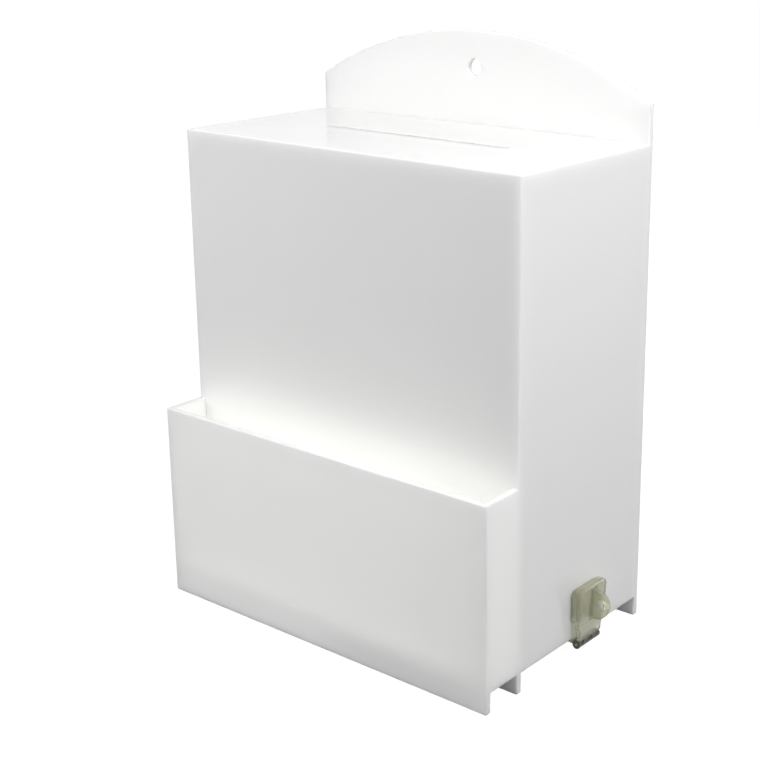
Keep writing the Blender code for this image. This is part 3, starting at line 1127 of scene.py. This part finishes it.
@dataclass
class DoorHinge(Fitting):
    """One of the two hinges along the lower left edge."""

    label: str = "front"

    def build(self) -> list[bpy.types.Object]:
        """Builds the hinge's two leaves and its pin.

        Returns:
            The finished pieces.
        """
        low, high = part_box(f"{self.label}_hinge_pin")
        place, length = (low + high) / 2, high.y - low.y
        case_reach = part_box(f"{self.label}_hinge_case_leaf")[1].z - place.z
        door_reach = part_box(f"{self.label}_hinge_door_leaf")[1].x - place.x
        case_leaf = self.leaf(length, case_reach, 0).moved(axes_at(place, UP, RIGHT))
        door_leaf = self.leaf(length, door_reach, 1).moved(axes_at(place, RIGHT, UP))
        # The hinge's clear plastic is darkened round its barrel by painted shade
        finish = replace(CLEAR_MOULDING, name="hinge_moulding", painted_shade=BarrelShade(place))
        return [
            placed(case_leaf, [f"{self.label}_hinge_case_leaf"], Body.CASE, finish),
            placed(door_leaf, [f"{self.label}_hinge_door_leaf"], Body.DOOR, finish),
            placed(self.pin(place, length), [f"{self.label}_hinge_pin"], Body.CASE, PIN_WIRE),
        ]


@dataclass
class Hasp(Fitting):
    """The hasp: the staple on the case, the leaf under the door, the pin and the strap."""

    staple_thickness: float = 0.0025
    staple_height: float = 0.0200
    eye_radius: float = 0.0090
    eye_thickness: float = 0.0035
    eye_hole_radius: float = 0.0032
    eye_steps: int = 96
    strap_top_depth: float = 0.0052
    strap_wall: float = 0.0018
    strap_corner: float = 0.0045
    shoulder: float = 0.0085
    shoulder_length: float = 0.0040
    slot_side_clearance: float = 0.0009
    slot_end_clearance: float = 0.0014
    slot_corner: float = 0.0009
    axis: Vector = field(init=False)
    barrel_length: float = field(init=False)
    wall_x: float = field(init=False)
    width: float = field(init=False)
    eye_reach: float = field(init=False)
    eye_z: float = field(init=False)
    top: float = field(init=False)

    def __post_init__(self) -> None:
        """Reads the hasp's places from the frame."""
        pin_low, pin_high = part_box("hasp_pin")
        self.axis = (pin_low + pin_high) / 2
        self.barrel_length = pin_high.y - pin_low.y
        self.wall_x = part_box("right_side_panel")[1].x
        staple_low, staple_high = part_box("hasp_staple")
        self.width = staple_high.y - staple_low.y
        self.eye_reach = staple_high.x - self.wall_x
        self.eye_z = (staple_low.z + staple_high.z) / 2
        self.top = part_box("hasp_strap")[1].z - self.axis.z

    def outer_face(self, height: float) -> float:
        """How far out of the axis the strap's leaning face is, at a height over the axis."""
        share = max(0.0, min(1.0, height / self.top))
        return self.barrel_radius + (self.strap_top_depth - self.barrel_radius) * share

    def staple(self) -> Shape:
        """The staple: a plate with round corners, and the D-shaped padlock eye.

        Returns:
            The staple.
        """
        middle = Vector((self.wall_x, self.axis.y, self.eye_z))
        half = Vector((0, self.width / 2, self.staple_height / 2))
        thickness = RIGHT * (self.cad_seat_gap + self.staple_thickness)
        plate = Shape.block(middle - half + RIGHT * self.seat_gap, middle + half + thickness)
        plate.rounded(plate.along(RIGHT), self.leaf_corner, self.corner_segments)
        side = REAR * (self.eye_thickness / 2)
        eye_height = UP * self.eye_radius
        round_middle = middle + RIGHT * (self.eye_reach - self.eye_radius) - side
        root = middle + thickness - RIGHT * OVERRUN - side
        eye = Shape()
        eye.bm.verts.new(round_middle + eye_height)
        eye.spun(round_middle, REAR, pi, self.eye_steps)
        eye.outlined([root - eye_height, root + eye_height])
        eye.pulled(2 * side)
        strap_face = self.axis.x - self.wall_x + self.strap_top_depth
        hole = middle + RIGHT * ((strap_face + self.eye_reach) / 2)
        reach = side + REAR * OVERRUN
        bore = Shape.rod(hole - reach, hole + reach, self.eye_hole_radius, self.barrel_steps)
        eye.combined(bore, Cut.TAKE_AWAY)
        plate.combined(eye, Cut.JOIN)
        return plate.rounded(plate.sharp(), self.moulded_radius, self.moulded_segments)

    def tray(self, inset: float, floor: float, ceiling: float) -> Shape:
        """The strap's tray form, or the hollow in it.

        Args:
            inset: How far each wall lies inside the tray's own faces.
            floor: The height at which it starts, over the axis.
            ceiling: The height at which it ends, over the axis.

        Returns:
            The form, in the strap's own frame: X out of the wall, Y along the barrel, Z up.
        """
        inner = self.barrel_radius - self.leaf_thickness - (OVERRUN if inset else 0)
        half = self.width / 2 - inset
        form = Shape.block(Vector((inner, -half, floor)), Vector((self.top, half, ceiling)))
        if not inset:
            for height in (self.shoulder, self.shoulder + self.shoulder_length):
                geometry = [*form.bm.verts, *form.bm.edges, *form.bm.faces]
                bmesh.ops.bisect_plane(form.bm, geom=geometry, plane_co=UP * height, plane_no=UP)
        for vertex in form.bm.verts:
            if vertex.co.x > inner + OVERRUN:
                vertex.co.x = self.outer_face(vertex.co.z) - inset
            if not inset and vertex.co.z < self.shoulder + MERGE_DISTANCE:
                vertex.co.y *= self.barrel_length / self.width
        top_edges = [edge for edge in form.along(RIGHT) if edge.verts[0].co.z > ceiling - OVERRUN]
        return form.rounded(top_edges, self.strap_corner - inset, self.corner_segments)

    def strap(self) -> Shape:
        """The swinging strap: a tray that deepens towards its top, slotted over the eye.

        Returns:
            The strap.
        """
        foot = self.barrel_radius + self.knuckle_gap
        strap = self.tray(0.0, foot, self.top)
        hollow_foot = self.shoulder + self.shoulder_length
        hollow = self.tray(self.strap_wall, hollow_foot, self.top - self.strap_wall)
        strap.combined(hollow, Cut.TAKE_AWAY)
        half_slot = self.eye_thickness / 2 + self.slot_side_clearance
        half_height = self.eye_radius + self.slot_end_clearance
        middle = UP * (self.eye_z - self.axis.z)
        half = Vector((self.top, half_slot, half_height))
        slot = Shape.block(middle - half, middle + half)
        slot.rounded(slot.along(RIGHT), self.slot_corner, self.corner_segments)
        strap.combined(slot, Cut.TAKE_AWAY)
        strap.rounded(strap.sharp(), self.moulded_radius, self.moulded_segments)
        # The knuckles are modelled in the leaf's frame, whose X is up and whose Z points out
        strap.moved(axes_at(Vector(), UP, RIGHT).inverted())
        self.add_knuckles(strap, self.barrel_length, 1)
        return strap.moved(axes_at(self.axis, UP, RIGHT))

    def build(self) -> list[bpy.types.Object]:
        """Builds the hasp's four pieces.

        Returns:
            The finished pieces.
        """
        reach = self.axis.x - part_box("hasp_door_leaf")[0].x
        leaf = self.leaf(self.barrel_length, reach, 0).moved(axes_at(self.axis, LEFT, UP))
        # The hasp's clear plastic is darkened round its barrel by painted shade
        finish = replace(CLEAR_MOULDING, name="hasp_moulding", painted_shade=BarrelShade(self.axis))
        return [
            placed(self.staple(), ["hasp_staple"], Body.CASE, finish),
            placed(leaf, ["hasp_door_leaf"], Body.DOOR, finish),
            placed(self.pin(self.axis, self.barrel_length), ["hasp_pin"], Body.DOOR, PIN_WIRE),
            placed(self.strap(), ["hasp_strap"], Body.STRAP, finish),
        ]


# Studio


def aim(
    thing: bpy.types.Object, target: Vector, azimuth: float, elevation: float, distance: float
) -> None:
    """Sets a lamp or a camera in its place, turned to a target.

    Args:
        thing: The lamp or camera.
        target: The point it is turned to.
        azimuth: Its bearing from there in degrees, from 0 in front to 90 at the box's right.
        elevation: Its height over the level in degrees.
        distance: How far off it is.
    """
    bearing, height = radians(azimuth), radians(elevation)
    flat = cos(height)
    away = Vector((sin(bearing) * flat, -cos(bearing) * flat, sin(height)))
    thing.location = target + away * distance
    thing.rotation_mode = "QUATERNION"
    thing.rotation_quaternion = (-away).to_track_quat("-Z", "Y")


def new_lamp(name: str, length: float, width: float, power: float) -> bpy.types.Object:
    """Makes a flat lamp at the origin, which shines down.

    Args:
        name: Its name.
        length: Its size along X.
        width: Its size along Y.
        power: Its power in watts.

    Returns:
        The lamp.
    """
    lamp = bpy.data.lights.new(name, "AREA")
    lamp.shape = "RECTANGLE"
    lamp.size = length
    lamp.size_y = width
    lamp.energy = power
    return new_object(name, lamp)


@dataclass(frozen=True)
class Softbox:
    """A square lamp that shines at the box from a given side."""

    name: str
    azimuth: float
    elevation: float
    distance: float
    size: float
    power: float

    def build(self, target: Vector) -> bpy.types.Object:
        """Hangs the lamp, turned to the target.

        Args:
            target: The point it shines at.

        Returns:
            The lamp.
        """
        lamp = new_lamp(self.name, self.size, self.size, self.power)
        aim(lamp, target, self.azimuth, self.elevation, self.distance)
        return lamp


@dataclass(frozen=True)
class PocketLamp:
    """A faint strip lamp in or under the pocket, which brightens its sheets and is out of view."""

    height: float
    power: float
    length: float = 0.22
    width: float = 0.016
    shift: float = 0.0

    def build(self) -> bpy.types.Object:
        """Lays the lamp between the pocket's front and the body's, facing up.

        Returns:
            The lamp.
        """
        lamp = new_lamp("pocket_lamp", self.length, self.width, self.power)
        low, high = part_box("pocket_left_cheek")
        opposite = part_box("pocket_right_cheek")
        middle_x = (high.x + opposite[0].x) / 2 + self.shift
        lamp.location = (middle_x, (low.y + high.y) / 2, self.height)
        lamp.rotation_euler = (pi, 0, 0)
        lamp.visible_camera = False
        lamp.visible_glossy = False
        return lamp


@dataclass
class Studio:
    """The camera, the lamps, the pale floor and the surroundings."""

    picture_size: int = 760
    bounces: int = 24
    sensor_width: float = 36.0
    focal_pixels: float = 1481.5
    optical_centre: tuple[float, float] = (467.1, 322.8)
    azimuth: float = 38.2
    elevation: float = 16.05
    distance: float = 0.8665
    target: Vector = field(default_factory=lambda: Vector((0.03646, 0.011, 0.1877)))
    floor_size: float = 30.0
    floor_colour: tuple[float, float, float] = (0.14, 0.14, 0.14)
    floor_seen_colour: tuple[float, float, float] = (0.12, 0.12, 0.12)
    floor_seen_glow: float = 0.97
    floor_far_glow: float = 1.0
    floor_near_reach: float = 0.45
    floor_far_reach: float = 1.30
    lamp_target: Vector = field(default_factory=lambda: Vector((0, 0, 0.17)))
    softboxes: tuple[Softbox, ...] = (
        Softbox("behind", azimuth=180, elevation=55, distance=1.5, size=0.9, power=4.8),
        Softbox("far_left", azimuth=-45, elevation=30, distance=1.8, size=0.9, power=5.6),
        Softbox("low_front", azimuth=-10, elevation=5, distance=1.2, size=0.9, power=4.8),
        Softbox("far_right", azimuth=45, elevation=30, distance=1.8, size=0.9, power=1.0),
        Softbox("near_left", azimuth=-30, elevation=35, distance=0.8, size=0.4, power=1.5),
        Softbox("near_right", azimuth=75, elevation=50, distance=0.8, size=0.4, power=2.3),
        Softbox("right", azimuth=90, elevation=30, distance=1.8, size=0.9, power=14.0),
        Softbox("rear_right", azimuth=140, elevation=25, distance=1.8, size=0.9, power=4.2),
        Softbox("rear", azimuth=180, elevation=10, distance=1.8, size=0.9, power=4.5),
        Softbox("high_left", azimuth=-90, elevation=60, distance=1.6, size=0.9, power=2.1),
    )
    pocket_lamps: tuple[PocketLamp, ...] = (
        PocketLamp(height=0.02, power=0.013),
        PocketLamp(height=0.06, power=0.004),
        PocketLamp(height=0.095, power=0.005),
        PocketLamp(height=0.002, power=0.008, length=0.13, shift=-0.055),
    )

    def build_camera(self) -> None:
        """Sets the camera where the photograph was taken from, with its off-centre framing."""
        data = bpy.data.cameras.new("camera")
        data.sensor_width = self.sensor_width
        data.lens = self.sensor_width * self.focal_pixels / self.picture_size
        middle = self.picture_size / 2
        data.shift_x = (middle - self.optical_centre[0]) / self.picture_size
        data.shift_y = (self.optical_centre[1] - middle) / self.picture_size
        camera = new_object("camera", data)
        aim(camera, self.target, self.azimuth, self.elevation, self.distance)
        bpy.context.scene.camera = camera

    @staticmethod
    def seen_directly(wiring: Wiring) -> bpy.types.NodeSocket:
        """What tells light that is seen from light that falls on the box.

        Args:
            wiring: The tree to add to.

        Returns:
            A socket that is 1 for the camera, for reflections and for what clear plastic shows.
        """
        path = wiring.add("ShaderNodeLightPath").outputs
        seen = wiring.math("MAXIMUM", path["Is Camera Ray"], path["Is Glossy Ray"])
        return wiring.math("MAXIMUM", seen, path["Is Transmission Ray"])

    def build_world(self) -> None:
        """A white backdrop all round, which is seen and reflected but gives no light."""
        world = bpy.data.worlds.new("surroundings")
        bpy.context.scene.world = world
        world.use_nodes = True
        wiring = Wiring(world.node_tree)
        background = world.node_tree.nodes["Background"]
        background.inputs["Color"].default_value = (1.0, 1.0, 1.0, 1.0)
        world.node_tree.links.new(self.seen_directly(wiring), background.inputs["Strength"])

    def floor_material(self) -> bpy.types.Material:
        """The floor's material.

        Returns:
            The material. Light bounces off it as off a grey floor, but it is seen as a white one
            that keeps the box's shadow, and from below it is looked through.
        """
        material, wiring = new_material("pale_floor")
        tree = material.node_tree
        tree.nodes.remove(tree.nodes["Principled BSDF"])
        bouncing = wiring.add("ShaderNodeBsdfDiffuse", Color=(*self.floor_colour, 1.0))
        shadowed = wiring.add("ShaderNodeBsdfDiffuse", Color=(*self.floor_seen_colour, 1.0))
        geometry = wiring.add("ShaderNodeNewGeometry").outputs
        level = wiring.ranged(
            wiring.length(geometry["Position"]),
            self.floor_near_reach,
            self.floor_far_reach,
            self.floor_seen_glow,
            self.floor_far_glow,
        )
        glow = wiring.add("ShaderNodeEmission", Strength=level)
        seen = wiring.add(
            "ShaderNodeAddShader", input_0=shadowed.outputs[0], input_1=glow.outputs[0]
        )
        from_above = wiring.add(
            "ShaderNodeMixShader",
            input_0=self.seen_directly(wiring),
            input_1=bouncing.outputs[0],
            input_2=seen.outputs[0],
        )
        surface = wiring.add(
            "ShaderNodeMixShader",
            input_0=geometry["Backfacing"],
            input_1=from_above.outputs[0],
            input_2=wiring.add("ShaderNodeBsdfTransparent").outputs[0],
        )
        tree.links.new(surface.outputs[0], tree.nodes["Material Output"].inputs["Surface"])
        return material

    def build_floor(self) -> None:
        """Lays the floor."""
        shape = Shape()
        bmesh.ops.create_grid(shape.bm, x_segments=1, y_segments=1, size=self.floor_size / 2)
        floor = shape.as_object("floor")
        floor.data.materials.append(self.floor_material())

    def build(self) -> None:
        """Builds the whole studio."""
        self.build_camera()
        self.build_world()
        self.build_floor()
        for softbox in self.softboxes:
            softbox.build(self.lamp_target)
        for pocket_lamp in self.pocket_lamps:
            pocket_lamp.build()
        cycles = bpy.context.scene.cycles
        cycles.diffuse_bounces = self.bounces
        cycles.max_bounces = self.bounces
        bpy.context.scene.view_settings.view_transform = "Standard"


def main() -> None:
    """Builds the looks around the frame, and logs the number of pieces."""
    logging.basicConfig(level=logging.INFO, format="%(message)s")
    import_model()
    Studio().build()
    pieces = OpalCase().build()
    for label in ("front", "rear"):
        pieces += DoorHinge(label=label).build()
    pieces += Hasp().build()
    LOG.info("%d pieces", len(pieces))


if __name__ == "__main__":
    main()
